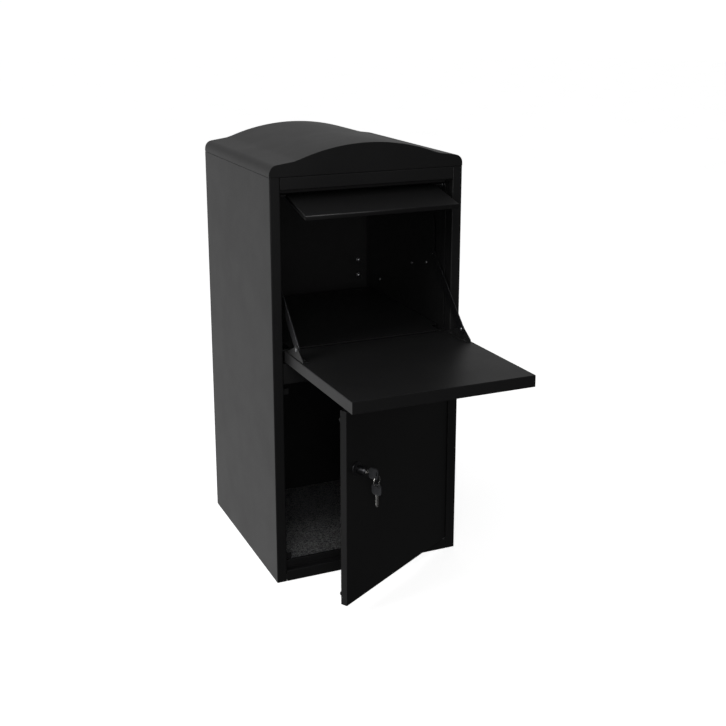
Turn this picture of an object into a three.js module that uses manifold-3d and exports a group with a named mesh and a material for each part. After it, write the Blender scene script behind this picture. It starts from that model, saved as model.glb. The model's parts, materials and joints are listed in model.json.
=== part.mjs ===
// Parcel drop box: a free-standing sheet-steel cabinet with an arched roof, a drop-down parcel
// flap above and a lockable collection door below. Millimetres, +Z up, front faces -Y, and the
// origin is the centre of the cabinet's underside.
import * as THREE from 'three';
import { mergeVertices } from 'three/addons/utils/BufferGeometryUtils.js';
import Module from 'manifold-3d';

const wasm = await Module();
wasm.setup();

// ---------------------------------------------------------------- driving dimensions
const GAP = 0.3;
const SHEET = 1.5;
const SKIN = 1.2;
const BEND = 0.8;
const BEND_STEPS = 3;

const WIDTH = 465;
const DEPTH = 481;
const WALL_TOP = 950;
const ROOF_APEX = 1015.5;

const POST_WIDTH = 24;
const POST_RETURN = 28.5;
const REAR_FLANGE = 16;

const SILL_HEIGHT = 26;
const SILL_LIP = 44;
const SILL_LEDGE = 18;
const RAIL_BOTTOM = 485;
const RAIL_TOP = 532.9;
const FASCIA_BOTTOM = 921.5;
const HEADER_BOTTOM = 909.5;
const HEADER_SETBACK = 30.3;
const CEILING = 947;
const MAT_TOP = 9;

const LINER_HALF = 206.5;
const LINER_FRONT = -211.4;
const LINER_BOTTOM = 500;
const LINER_TOP = 944;

const FLAP_AXIS_Z = 536;
const FLAP_LENGTH = 383.5;
const FLAP_HALF = 206;
const FLAP_FACE = 3;
const FLAP_THICK = 25.5;
const FLAP_ROOT = 3.1;
const FLAP_TILT = 0.7;
const FLAP_TRAVEL = 89.3;

const HINGE_BARREL = 2.8;
const HINGE_PIN = 1.3;
const HINGE_LEAF = 1;
const HINGE_KNUCKLES = 13;
const HINGE_LENGTH = 403;

const STAY_LENGTH = 210;
const STAY_WIDTH = 25;
const STAY_INNER = 199.3;
const STAY_THICK = 2;
const STAY_RIVET_Y = -72;
const STAY_RIVET_Z = 49;
const STAY_OPEN = 44.3;
const STAY_CLOSED = 81;
const STAY_PIN = 3;
const RIVET_SHANK = 2.7;

const VISOR_AXIS_Y = -193;
const VISOR_AXIS_Z = 902.5;
const VISOR_HALF = 182;
const VISOR_REACH = 133;
const VISOR_LIP = 10;
const VISOR_SLOPE = 12.6;
const VISOR_ROD = 4;
const VISOR_CURL = 5.5;

const TRAY_AXIS_Y = -203;
const TRAY_AXIS_Z = 552;
const TRAY_HALF = 204;
const TRAY_FRONT = -29;
const TRAY_REAR = 408;
const TRAY_TOP = 12.5;
const TRAY_ROD = 4;

const DOOR_AXIS_X = 203.5;
const DOOR_SET = 4;
const DOOR_RECESS = 0.5;
const DOOR_LENGTH = 409.5;
const DOOR_EDGE = 2;
const DOOR_THICK = 16;
const DOOR_BOTTOM = 29;
const DOOR_TOP = 482;
const DOOR_OPEN = 31;

const LOCK_X = -372.5;
const LOCK_Z = 341;
const LOCK_NOSE = 29;
const LOCK_RADIUS = 10;
const LOCK_FLANGE = 17;
const LOCK_BARREL = 9;
const PLUG_RADIUS = 6.2;
const CAM_LENGTH = 53;
const CAM_Y = 26;

const KEY_BOW = 24.5;
const KEY_BLADE = 27;
const KEY_BLADE_WIDTH = 8;
const KEY_SLOT = 11.5;
const KEY_SLOT_WIDTH = 3;
const KEY_REACH = 53;
const RING_RADIUS = 11.5;
const RING_WIRE = 1;
const RING_DROP = 3.35;

// ---------------------------------------------------------------- derived positions
const HALF = WIDTH / 2;
const FRONT = -DEPTH / 2;
const REAR = DEPTH / 2;
const OPENING_HALF = HALF - POST_WIDTH;
const INSIDE_HALF = HALF - SHEET - GAP;
const FLANGE_FACE = REAR - SHEET - GAP;
const BACK_INSIDE = FLANGE_FACE - SHEET - GAP;
const DOOR_AXIS_Y = FRONT + DOOR_RECESS + DOOR_SET;
const DEG = Math.PI / 180;

// ---------------------------------------------------------------- finishes
const finish = (color, roughness, metalness) => () =>
  new THREE.MeshStandardMaterial({ color, roughness, metalness });
const blackPowder = finish(0x1a1a1b, 0.55, 0.2);
const zincSteel = finish(0x8d8f92, 0.35, 0.9);
const nickel = finish(0xb9babd, 0.22, 1);
const darkNickel = finish(0x3c3d40, 0.3, 0.9);
const blackPlastic = finish(0x26272a, 0.45, 0);
const rubber = finish(0x121212, 0.9, 0);
const speckledMat = finish(0x3d3d3f, 0.95, 0);

// ---------------------------------------------------------------- geometry helpers
const box = (x0, x1, y0, y1, z0, z1) =>
  new THREE.BoxGeometry(x1 - x0, y1 - y0, z1 - z0)
    .translate((x0 + x1) / 2, (y0 + y1) / 2, (z0 + z1) / 2);

function toSolid(geometry) {
  const bare = geometry.clone();
  bare.deleteAttribute('normal');
  bare.deleteAttribute('uv');
  const merged = mergeVertices(bare, 1e-4);
  const vertProperties = new Float32Array(merged.attributes.position.array);
  const triVerts = new Uint32Array(merged.index.array);
  return new wasm.Manifold(new wasm.Mesh({ numProp: 3, vertProperties, triVerts }));
}

function toGeometry(solid) {
  const mesh = solid.getMesh();
  const geometry = new THREE.BufferGeometry();
  geometry.setAttribute('position', new THREE.BufferAttribute(mesh.vertProperties, 3));
  geometry.setIndex(new THREE.BufferAttribute(mesh.triVerts, 1));
  geometry.computeVertexNormals();
  return geometry;
}

const joined = (...parts) => toGeometry(parts.map(toSolid).reduce((a, b) => a.add(b)));
const cut = (body, ...tools) =>
  toGeometry(tools.map(toSolid).reduce((a, b) => a.subtract(b), toSolid(body)));

// Turns a profile of [radius, height] points about the axis and lays the axis along x, y or z.
function turned(profile, axis, segments = 20) {
  const points = profile.map(([r, h]) => new THREE.Vector2(r, h));
  const geometry = new THREE.LatheGeometry(points, segments);
  if (axis === 'x') geometry.rotateZ(-Math.PI / 2);
  if (axis === 'z') geometry.rotateX(Math.PI / 2);
  return geometry;
}

const rod = (radius, from, to, axis, segments = 20) =>
  turned([[0, from], [radius, from], [radius, to], [0, to]], axis, segments);

const tube = (inner, outer, from, to, axis, segments = 20) =>
  turned([[inner, from], [outer, from], [outer, to], [inner, to], [inner, from]], axis, segments);

const domeHead = (radius, height, axis) =>
  turned([[0, 0], [radius, 0], [radius * 0.86, height * 0.6], [radius * 0.5, height * 0.92],
    [0, height]], axis, 12);

function outline(points, holes = []) {
  const shape = new THREE.Shape(points.map(([u, v]) => new THREE.Vector2(u, v)));
  for (const hole of holes) shape.holes.push(hole);
  return shape;
}

function roundHole(u, v, radius, segments = 16) {
  const rim = [];
  for (let i = 0; i < segments; i += 1) {
    const turn = (i / segments) * Math.PI * 2;
    rim.push(new THREE.Vector2(u + radius * Math.cos(turn), v + radius * Math.sin(turn)));
  }
  return new THREE.Path(rim);
}

// Plates extruded from an outline: in YZ, running along X; in XZ, along Y; in XY, along Z.
function alongX(shape, x0, x1, curveSegments = 10) {
  const settings = { depth: x1 - x0, bevelEnabled: false, curveSegments };
  return new THREE.ExtrudeGeometry(shape, settings)
    .rotateY(Math.PI / 2).rotateX(Math.PI / 2).translate(x0, 0, 0);
}

function alongY(shape, y0, y1, curveSegments = 10) {
  const settings = { depth: y1 - y0, bevelEnabled: false, curveSegments };
  return new THREE.ExtrudeGeometry(shape, settings).rotateX(Math.PI / 2).translate(0, y1, 0);
}

function alongZ(shape, z0, z1, curveSegments = 10) {
  const settings = { depth: z1 - z0, bevelEnabled: false, curveSegments };
  return new THREE.ExtrudeGeometry(shape, settings).translate(0, 0, z0);
}

// The section of a folded sheet: one face's path, thickened to its left by the gauge, or to its
// right where the gauge is negative. Each corner of the path is a round bend.
function folded(path, gauge) {
  const thick = Math.abs(gauge);
  const face = [];
  const back = [];
  path.forEach((point, i) => {
    const into = thickening(path[Math.max(i - 1, 0)], path[Math.max(i, 1)], gauge);
    if (i === 0 || i === path.length - 1) {
      face.push(point);
      back.push([point[0] + into[0] * thick, point[1] + into[1] * thick]);
      return;
    }
    const away = thickening(point, path[i + 1], gauge);
    const ahead = [path[i + 1][0] - point[0], path[i + 1][1] - point[1]];
    const side = Math.sign(into[0] * ahead[0] + into[1] * ahead[1]);
    const faceRadius = side > 0 ? BEND + thick : BEND;
    const backRadius = side > 0 ? BEND : BEND + thick;
    const reach = (side * faceRadius) / (1 + into[0] * away[0] + into[1] * away[1]);
    const centre = [point[0] + (into[0] + away[0]) * reach, point[1] + (into[1] + away[1]) * reach];
    const start = Math.atan2(into[1], into[0]);
    const swing = Math.atan2(
      into[0] * away[1] - into[1] * away[0],
      into[0] * away[0] + into[1] * away[1],
    );
    for (let k = 0; k <= BEND_STEPS; k += 1) {
      const turn = start + (swing * k) / BEND_STEPS;
      const out = [-side * Math.cos(turn), -side * Math.sin(turn)];
      face.push([centre[0] + out[0] * faceRadius, centre[1] + out[1] * faceRadius]);
      back.push([centre[0] + out[0] * backRadius, centre[1] + out[1] * backRadius]);
    }
  });
  return outline([...face, ...back.reverse()]);
}

function thickening(from, to, gauge) {
  const [x, y] = leftNormal(from, to);
  return [x * Math.sign(gauge), y * Math.sign(gauge)];
}

function leftNormal(from, to) {
  const run = Math.hypot(to[0] - from[0], to[1] - from[1]);
  return [-(to[1] - from[1]) / run, (to[0] - from[0]) / run];
}

function node(parent, name, geometry, material) {
  const mesh = new THREE.Mesh(geometry, material());
  mesh.name = name;
  parent.add(mesh);
  return mesh;
}

const group = new THREE.Group();

// ---------------------------------------------------------------- cabinet shell
// Each side is one folded sheet: the wall, the 24 mm front post, its inner return, and a rear
// flange that the back panel is riveted to.
function sidePanel(side, name) {
  const section = folded([
    [HALF - REAR_FLANGE, FLANGE_FACE],
    [HALF, FLANGE_FACE],
    [HALF, FRONT],
    [OPENING_HALF, FRONT],
    [OPENING_HALF, FRONT + POST_RETURN],
  ].map(([x, y]) => [side * x, y]), -side * SHEET);
  node(group, name, alongZ(section, 0, WALL_TOP), blackPowder);
}

sidePanel(-1, 'side_panel_left');
sidePanel(1, 'side_panel_right');

node(group, 'back_panel',
  box(-HALF, HALF, REAR - SHEET, REAR, 0, WALL_TOP), blackPowder);

// Floor tray with its side flanges turned up against the walls.
const FLOOR_FRONT = FRONT + POST_RETURN + 2.5;
const FLOOR_FLANGE = 18;
node(group, 'floor_pan', alongY(folded([
  [-INSIDE_HALF, FLOOR_FLANGE],
  [-INSIDE_HALF, 0],
  [INSIDE_HALF, 0],
  [INSIDE_HALF, FLOOR_FLANGE],
], SHEET), FLOOR_FRONT, BACK_INSIDE), blackPowder);

const MAT_HALF = INSIDE_HALF - SHEET - 2;
node(group, 'floor_mat',
  box(-MAT_HALF, MAT_HALF, FLOOR_FRONT + 1, BACK_INSIDE - 3, SHEET + GAP, MAT_TOP), speckledMat);

// Sill: front face, a ledge the door sits over, and a raised lip that the door closes against.
const SPAN = OPENING_HALF - GAP;
const PIVOT_BORE = 2.9;
const sillBack = FRONT + SILL_LEDGE + 8;
const sill = alongX(folded([
  [sillBack, 6],
  [sillBack, SILL_LIP],
  [FRONT + SILL_LEDGE, SILL_LIP],
  [FRONT + SILL_LEDGE, SILL_HEIGHT],
  [FRONT, SILL_HEIGHT],
  [FRONT, 0],
], SHEET), -SPAN, SPAN);
const pivotBore = (z0, z1) => rod(PIVOT_BORE, z0, z1, 'z').translate(DOOR_AXIS_X, DOOR_AXIS_Y, 0);
node(group, 'door_sill', cut(sill, pivotBore(SILL_HEIGHT - 5, SILL_HEIGHT + 5)), blackPowder);

// Cross rail between the flap and the door: a channel open to the rear.
const railBack = FRONT + 21;
const rail = alongX(folded([
  [railBack, RAIL_TOP - 12],
  [railBack, RAIL_TOP],
  [FRONT, RAIL_TOP],
  [FRONT, RAIL_BOTTOM],
  [railBack, RAIL_BOTTOM],
], SHEET), -SPAN, SPAN);
node(group, 'cross_rail', cut(rail, pivotBore(RAIL_BOTTOM - 5, RAIL_BOTTOM + 5)), blackPowder);

// Fascia above the flap, and the header strip behind it that the closed flap stops against.
node(group, 'fascia', alongX(folded([
  [FRONT + 14, WALL_TOP],
  [FRONT, WALL_TOP],
  [FRONT, FASCIA_BOTTOM],
  [FRONT + 14, FASCIA_BOTTOM],
], SHEET), -SPAN, SPAN), blackPowder);

const headerFace = FRONT + HEADER_SETBACK;
node(group, 'header_strip', alongX(folded([
  [headerFace + 14, CEILING - GAP],
  [headerFace, CEILING - GAP],
  [headerFace, HEADER_BOTTOM],
  [headerFace + 7, HEADER_BOTTOM],
], SHEET), -LINER_HALF + 0.5, LINER_HALF - 0.5), blackPowder);

node(group, 'ceiling_plate',
  box(-INSIDE_HALF, INSIDE_HALF, FLOOR_FRONT, BACK_INSIDE, CEILING, CEILING + SHEET), blackPowder);

// ---------------------------------------------------------------- arched roof cap
// Half of the roof line, from the side edge to the apex: rounded corner, flat shoulder, arch.
// A shallow groove round the foot of the cap makes the dark line above the walls.
const ROOF_SEAM = WALL_TOP + GAP;
const GROOVE = 0.7;
const ROOF_CORNER = 19;
const SHOULDER_OUT = [HALF - ROOF_CORNER, 977];
const SHOULDER_IN = [176, 982.4];
const ARCH_RADIUS = 468;
const ARCH_HALF = 163;
const ARCH_STEPS = 12;

function roofLine(inset) {
  const half = [];
  for (let i = 0; i <= 5; i += 1) {
    const turn = (i / 5) * 84 * DEG;
    const reach = ROOF_CORNER - inset;
    half.push([
      SHOULDER_OUT[0] + reach * Math.cos(turn),
      SHOULDER_OUT[1] - ROOF_CORNER + reach * Math.sin(turn),
    ]);
  }
  half.push([SHOULDER_IN[0], SHOULDER_IN[1] - inset]);
  for (let i = 0; i <= ARCH_STEPS; i += 1) {
    const x = ARCH_HALF * (1 - i / ARCH_STEPS);
    const drop = ARCH_RADIUS - Math.sqrt(ARCH_RADIUS ** 2 - x ** 2);
    half.push([x, ROOF_APEX - drop - inset]);
  }
  const foot = inset > 0 ? [[HALF - inset, ROOF_SEAM]] : [
    [HALF - GROOVE, ROOF_SEAM],
    [HALF - GROOVE, ROOF_SEAM + GROOVE],
    [HALF, ROOF_SEAM + GROOVE],
  ];
  const rightHalf = [...foot, ...half];
  return [...rightHalf, ...rightHalf.slice(0, -1).reverse().map(([x, z]) => [-x, z])];
}

const roofPlate = outline(roofLine(0));
const roofSkin = outline([...roofLine(0), ...roofLine(SHEET).reverse()]);
const grooveAt = (y) =>
  box(-WIDTH, WIDTH, y - GROOVE, y + GROOVE, ROOF_SEAM - GROOVE, ROOF_SEAM + GROOVE);
node(group, 'roof_front_plate',
  cut(alongY(roofPlate, FRONT, FRONT + SHEET), grooveAt(FRONT)), blackPowder);
node(group, 'roof_rear_plate',
  cut(alongY(roofPlate, REAR - SHEET, REAR), grooveAt(REAR)), blackPowder);
node(group, 'roof_skin',
  alongY(roofSkin, FRONT + SHEET + GAP, REAR - SHEET - GAP), blackPowder);

// ---------------------------------------------------------------- flap motion, for the stay slots
// A point fixed to the flap, turned about the flap hinge by `angle` degrees from rest, in [Y, Z].
function onFlap([y, z], angle) {
  const turn = (angle + FLAP_TILT) * DEG;
  return [
    FRONT + y * Math.cos(turn) + z * Math.sin(turn),
    FLAP_AXIS_Z - y * Math.sin(turn) + z * Math.cos(turn),
  ];
}

function stayPinAt(angle) {
  const [y, z] = onFlap([STAY_RIVET_Y, STAY_RIVET_Z], angle);
  const lean = (STAY_OPEN + (STAY_CLOSED - STAY_OPEN) * (angle / FLAP_TRAVEL)) * DEG;
  return [y + STAY_LENGTH * Math.cos(lean), z + STAY_LENGTH * Math.sin(lean)];
}

// The slot that the stay's pin follows. The pin climbs almost straight and drops back a few
// millimetres along its own path as the flap shuts, so the slot only follows the climb.
const SLOT_CLEARANCE = 1.6;
const SLOT_STEPS = 14;
const SLOT_END_STEPS = 6;
function slotHole() {
  const reach = STAY_PIN + SLOT_CLEARANCE;
  const path = [stayPinAt(0)];
  for (let i = 1; i <= SLOT_STEPS; i += 1) {
    const point = stayPinAt((FLAP_TRAVEL * i) / SLOT_STEPS);
    if (point[1] < path[path.length - 1][1]) break;
    path.push(point);
  }
  const last = path.length - 1;
  const heading = (i) => {
    const [y0, z0] = path[Math.max(i - 1, 0)];
    const [y1, z1] = path[Math.min(i + 1, last)];
    return Math.atan2(z1 - z0, y1 - y0);
  };
  const around = (i, swing) => {
    const turn = heading(i) + swing;
    return new THREE.Vector2(path[i][0] + reach * Math.cos(turn), path[i][1] + reach * Math.sin(turn));
  };
  const edge = [];
  for (let i = 0; i <= last; i += 1) edge.push(around(i, -Math.PI / 2));
  for (let k = 1; k < SLOT_END_STEPS; k += 1) {
    edge.push(around(last, (k / SLOT_END_STEPS - 0.5) * Math.PI));
  }
  for (let i = last; i >= 0; i -= 1) edge.push(around(i, Math.PI / 2));
  for (let k = 1; k < SLOT_END_STEPS; k += 1) {
    edge.push(around(0, (k / SLOT_END_STEPS + 0.5) * Math.PI));
  }
  return new THREE.Path(edge);
}

// ---------------------------------------------------------------- inner side liners
const ROD_BORE = 4.4;
function liner(side, name) {
  const plate = outline([
    [LINER_FRONT, LINER_BOTTOM], [BACK_INSIDE - 1, LINER_BOTTOM],
    [BACK_INSIDE - 1, LINER_TOP], [LINER_FRONT, LINER_TOP],
  ], [
    slotHole(),
    roundHole(TRAY_AXIS_Y, TRAY_AXIS_Z, ROD_BORE),
    roundHole(VISOR_AXIS_Y, VISOR_AXIS_Z, ROD_BORE),
  ]);
  const x0 = side > 0 ? LINER_HALF : -LINER_HALF - SHEET;
  node(group, name, alongX(plate, x0, x0 + SHEET, 8), blackPowder);
}
liner(-1, 'side_liner_left');
liner(1, 'side_liner_right');

// ---------------------------------------------------------------- wall-fixing nuts
// Dome nuts of the wall-fixing bolts, on the inner face of the back panel.
const NUT_X = 183;
const NUT_HEIGHTS = [595, 637];
[-NUT_X, NUT_X].forEach((x) => NUT_HEIGHTS.forEach((z) => {
  const name = `wall_fixing_nut_${x < 0 ? 'left' : 'right'}_${z === NUT_HEIGHTS[0] ? 'lower' : 'upper'}`;
  const nut = domeHead(6.5, 5, 'y').rotateZ(Math.PI).translate(x, REAR - SHEET - GAP, z);
  node(group, name, nut, zincSteel);
}));

// ---------------------------------------------------------------- door stop tabs
// Angle tabs on the left post that the door buffers land on.
const BUFFER_LOW = 52;
const BUFFER_HIGH = 459;
const TAB_FACE = DOOR_AXIS_Y + 19;
const tabSection = folded([
  [-OPENING_HALF + GAP, FRONT + POST_RETURN],
  [-OPENING_HALF + GAP, TAB_FACE],
  [-OPENING_HALF + 20, TAB_FACE],
], SHEET);
const heights = [['lower', BUFFER_LOW], ['upper', BUFFER_HIGH]];
for (const [suffix, z] of heights) {
  node(group, `door_stop_tab_${suffix}`, alongZ(tabSection, z - 7, z + 7), blackPowder);
}

// ---------------------------------------------------------------- flap hinge
// A knuckle run: every other knuckle along the hinge, joined to a notched leaf.
const KNUCKLE_PITCH = HINGE_LENGTH / HINGE_KNUCKLES;
function hingeLeaf(first, leafShape, notchShape) {
  const parts = [];
  let leaf = alongX(leafShape, -HINGE_LENGTH / 2, HINGE_LENGTH / 2);
  const notches = [];
  for (let i = 0; i < HINGE_KNUCKLES; i += 1) {
    const x0 = -HINGE_LENGTH / 2 + i * KNUCKLE_PITCH;
    if (i % 2 === first) {
      parts.push(tube(HINGE_PIN + GAP, HINGE_BARREL, x0 + GAP, x0 + KNUCKLE_PITCH - GAP, 'x', 12));
    } else {
      notches.push(alongX(notchShape, x0 - GAP, x0 + KNUCKLE_PITCH + GAP));
    }
  }
  leaf = cut(leaf, ...notches);
  return joined(leaf, ...parts);
}

const rectangle = (u0, u1, v0, v1) => outline([[u0, v0], [u1, v0], [u1, v1], [u0, v1]]);
const LEAF_DEPTH = 19;
const NOTCH = HINGE_BARREL + GAP;
const fixedLeaf = hingeLeaf(0,
  rectangle(0, LEAF_DEPTH, -HINGE_BARREL, -HINGE_BARREL + HINGE_LEAF),
  rectangle(-NOTCH, NOTCH, -NOTCH, NOTCH));
node(group, 'flap_hinge_fixed_leaf', fixedLeaf.translate(0, FRONT, FLAP_AXIS_Z), blackPowder);
node(group, 'flap_hinge_pin',
  rod(HINGE_PIN, -HINGE_LENGTH / 2 - 1, HINGE_LENGTH / 2 + 1, 'x', 10)
    .translate(0, FRONT, FLAP_AXIS_Z), zincSteel);

// ---------------------------------------------------------------- drop flap (rests open, level)
const flap = new THREE.Group();
flap.position.set(0, FRONT, FLAP_AXIS_Z);
flap.rotation.x = -FLAP_TILT * DEG;
group.add(flap);

// A folded tray forms the outer face and the edges, and a flat inner panel closes it.
const FLAP_TOP = FLAP_FACE + FLAP_THICK;
const flapTray = FLAP_TOP - SKIN - GAP;
node(flap, 'flap_outer_pan', cut(
  box(-FLAP_HALF, FLAP_HALF, -FLAP_LENGTH, -FLAP_ROOT, FLAP_FACE, flapTray),
  box(-FLAP_HALF + SKIN, FLAP_HALF - SKIN, -FLAP_LENGTH + SKIN, -FLAP_ROOT - SKIN,
    FLAP_FACE + SKIN, flapTray + 5),
), blackPowder);
node(flap, 'flap_inner_panel',
  box(-FLAP_HALF, FLAP_HALF, -FLAP_LENGTH, -FLAP_ROOT, FLAP_TOP - SKIN, FLAP_TOP), blackPowder);

const movingLeaf = hingeLeaf(1,
  rectangle(-HINGE_BARREL, -HINGE_BARREL + HINGE_LEAF, 0, LEAF_DEPTH),
  rectangle(-NOTCH, NOTCH, -NOTCH, NOTCH));
node(flap, 'flap_hinge_moving_leaf', movingLeaf, blackPowder);

// Stay brackets: a triangular ear on a screwed foot, near the hinge on each side of the flap.
const BRACKET_INNER = STAY_INNER + STAY_THICK + 0.5;
const BRACKET_OUTER = BRACKET_INNER + 2;
const BRACKET_REAR = -20;
const BRACKET_TIP = -112;
const FOOT_BASE = FLAP_TOP + GAP;
const FOOT_TOP = FOOT_BASE + 2;
const earShape = () => {
  const shape = outline([
    [BRACKET_TIP, FOOT_BASE], [BRACKET_REAR, FOOT_BASE], [BRACKET_REAR, FOOT_TOP + 3],
    [STAY_RIVET_Y + 8.5, STAY_RIVET_Z + 4], [STAY_RIVET_Y + 4.5, STAY_RIVET_Z + 8.5],
    [STAY_RIVET_Y - 4.5, STAY_RIVET_Z + 8.5], [STAY_RIVET_Y - 8.5, STAY_RIVET_Z + 4],
    [BRACKET_TIP, FOOT_TOP + 2],
  ]);
  shape.holes.push(roundHole(STAY_RIVET_Y, STAY_RIVET_Z, RIVET_SHANK + GAP));
  return shape;
};
function stayBracket(side, name) {
  const x0 = side > 0 ? BRACKET_INNER : -BRACKET_OUTER;
  const ear = alongX(earShape(), x0, x0 + 2, 8);
  const footInner = BRACKET_INNER - 12;
  const foot = side > 0
    ? box(footInner, BRACKET_OUTER, BRACKET_TIP, BRACKET_REAR, FOOT_BASE, FOOT_TOP)
    : box(-BRACKET_OUTER, -footInner, BRACKET_TIP, BRACKET_REAR, FOOT_BASE, FOOT_TOP);
  node(flap, name, joined(ear, foot), blackPowder);
}
stayBracket(-1, 'stay_bracket_left');
stayBracket(1, 'stay_bracket_right');

// Rivets that pin the stays to their brackets: one turned piece with a head at each end.
function stayRivet(side) {
  const inner = STAY_INNER - GAP;
  const outer = BRACKET_OUTER + GAP;
  return turned([
    [0, inner - 1.8], [3.4, inner - 1.6], [4.6, inner - 0.6], [4.6, inner], [RIVET_SHANK, inner],
    [RIVET_SHANK, outer], [4.6, outer], [4.6, outer + 0.5], [3.4, outer + 1.4], [0, outer + 1.5],
  ], 'x', 16).rotateY(side > 0 ? 0 : Math.PI).translate(0, STAY_RIVET_Y, STAY_RIVET_Z);
}
node(flap, 'stay_rivet_left', stayRivet(-1), zincSteel);
node(flap, 'stay_rivet_right', stayRivet(1), zincSteel);

// ---------------------------------------------------------------- stays
function stay(side, suffix) {
  const [y, z] = onFlap([STAY_RIVET_Y, STAY_RIVET_Z], 0);
  const arm = new THREE.Group();
  arm.position.set(0, y, z);
  arm.rotation.x = STAY_OPEN * DEG;
  group.add(arm);
  const bar = new THREE.Shape();
  bar.absarc(0, 0, STAY_WIDTH / 2, Math.PI / 2, Math.PI * 1.5, false);
  bar.absarc(STAY_LENGTH, 0, STAY_WIDTH / 2, -Math.PI / 2, Math.PI / 2, false);
  bar.closePath();
  bar.holes.push(roundHole(0, 0, RIVET_SHANK + GAP), roundHole(STAY_LENGTH, 0, RIVET_SHANK + GAP));
  const x0 = side > 0 ? STAY_INNER : -STAY_INNER - STAY_THICK;
  node(arm, `stay_arm_${suffix}`, alongX(bar, x0, x0 + STAY_THICK, 8), darkNickel);
  const inner = STAY_INNER - GAP;
  const outer = STAY_INNER + STAY_THICK + GAP;
  const behind = LINER_HALF + SHEET + 0.5;
  const pin = turned([
    [0, inner - 1.8], [3.4, inner - 1.6], [4.6, inner - 0.6], [4.6, inner], [RIVET_SHANK, inner],
    [RIVET_SHANK, outer], [4.8, outer], [4.8, outer + 3.6], [STAY_PIN, outer + 3.6],
    [STAY_PIN, behind], [5.6, behind], [5.6, behind + 1.2], [0, behind + 1.6],
  ], 'x', 16).rotateY(side > 0 ? 0 : Math.PI).translate(0, STAY_LENGTH, 0);
  node(arm, `stay_pin_${suffix}`, pin, darkNickel);
}
stay(-1, 'left');
stay(1, 'right');

// ---------------------------------------------------------------- visor over the opening
const visor = new THREE.Group();
visor.position.set(0, VISOR_AXIS_Y, VISOR_AXIS_Z);
visor.rotation.x = VISOR_SLOPE * DEG;
group.add(visor);
const visorTop = VISOR_CURL;
const visorSheet = alongX(folded([
  [-VISOR_REACH, visorTop - VISOR_LIP],
  [-VISOR_REACH, visorTop],
  [0, visorTop],
], -SHEET), -VISOR_HALF, VISOR_HALF);
const visorCheek = outline([
  [-VISOR_REACH + 1, visorTop - VISOR_LIP], [-VISOR_REACH + 1, visorTop - 0.5],
  [-8, visorTop - 0.5], [-8, visorTop - VISOR_LIP + 2],
]);
node(visor, 'visor_panel', joined(
  visorSheet,
  tube(VISOR_ROD + GAP, VISOR_CURL, -VISOR_HALF, VISOR_HALF, 'x', 20),
  alongX(visorCheek, -VISOR_HALF, -VISOR_HALF + SHEET),
  alongX(visorCheek, VISOR_HALF - SHEET, VISOR_HALF),
), blackPowder);
node(visor, 'visor_rod', rod(VISOR_ROD, -LINER_HALF - 4, LINER_HALF + 4, 'x', 16), zincSteel);
const COLLAR_RADIUS = 7;
const COLLAR_OUT = LINER_HALF - 0.6;
const COLLAR_IN = COLLAR_OUT - 3.5;
node(visor, 'visor_collar_left',
  tube(VISOR_ROD + GAP, COLLAR_RADIUS, -COLLAR_OUT, -COLLAR_IN, 'x', 16), zincSteel);
node(visor, 'visor_collar_right',
  tube(VISOR_ROD + GAP, COLLAR_RADIUS, COLLAR_IN, COLLAR_OUT, 'x', 16), zincSteel);

// ---------------------------------------------------------------- parcel tray
const trayRodSpan = LINER_HALF + 8;
node(group, 'tray_pivot_rod', rod(TRAY_ROD, -trayRodSpan, trayRodSpan, 'x', 16)
  .translate(0, TRAY_AXIS_Y, TRAY_AXIS_Z), zincSteel);
const capInner = LINER_HALF + SHEET + GAP;
const capOuter = capInner + 4;
node(group, 'tray_rod_cap_left', tube(TRAY_ROD + GAP, COLLAR_RADIUS, -capOuter, -capInner, 'x', 16)
  .translate(0, TRAY_AXIS_Y, TRAY_AXIS_Z), zincSteel);
node(group, 'tray_rod_cap_right', tube(TRAY_ROD + GAP, COLLAR_RADIUS, capInner, capOuter, 'x', 16)
  .translate(0, TRAY_AXIS_Y, TRAY_AXIS_Z), zincSteel);

const tray = new THREE.Group();
tray.position.set(0, TRAY_AXIS_Y, TRAY_AXIS_Z);
group.add(tray);
const TRAY_NOTCH_HALF = 186;
const TRAY_NOTCH = 18;
const TRAY_FLANGE = 11;
const TRAY_LIP = 3.5;
const trayTop = TRAY_TOP - SHEET;
const trayBlank = alongZ(outline([
  [-TRAY_NOTCH_HALF, TRAY_FRONT], [TRAY_NOTCH_HALF, TRAY_FRONT], [TRAY_NOTCH_HALF, TRAY_NOTCH],
  [TRAY_HALF, TRAY_NOTCH], [TRAY_HALF, TRAY_REAR], [-TRAY_HALF, TRAY_REAR],
  [-TRAY_HALF, TRAY_NOTCH], [-TRAY_NOTCH_HALF, TRAY_NOTCH],
]), TRAY_TOP - TRAY_FLANGE, TRAY_TOP);
node(tray, 'tray_plate', cut(trayBlank,
  box(-TRAY_HALF + SHEET, TRAY_HALF - SHEET, TRAY_NOTCH - 4, TRAY_REAR - SHEET, -5, trayTop),
  box(-TRAY_HALF, TRAY_HALF, TRAY_FRONT + SHEET, TRAY_NOTCH + 4, -5, trayTop),
  box(-TRAY_HALF, TRAY_HALF, TRAY_FRONT - 4, TRAY_FRONT + 4, -5, TRAY_TOP - TRAY_LIP),
), blackPowder);

const SLEEVE_HALF = 178;
const sleeveShape = () => {
  const radius = 6.5;
  const shape = new THREE.Shape();
  shape.moveTo(radius, 0);
  shape.lineTo(radius, trayTop - GAP);
  shape.lineTo(-radius, trayTop - GAP);
  shape.lineTo(-radius, 0);
  shape.absarc(0, 0, radius, Math.PI, Math.PI * 2, false);
  shape.holes.push(roundHole(0, 0, ROD_BORE));
  return shape;
};
node(tray, 'tray_hinge_sleeve', alongX(sleeveShape(), -SLEEVE_HALF, SLEEVE_HALF, 8), zincSteel);

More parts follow.
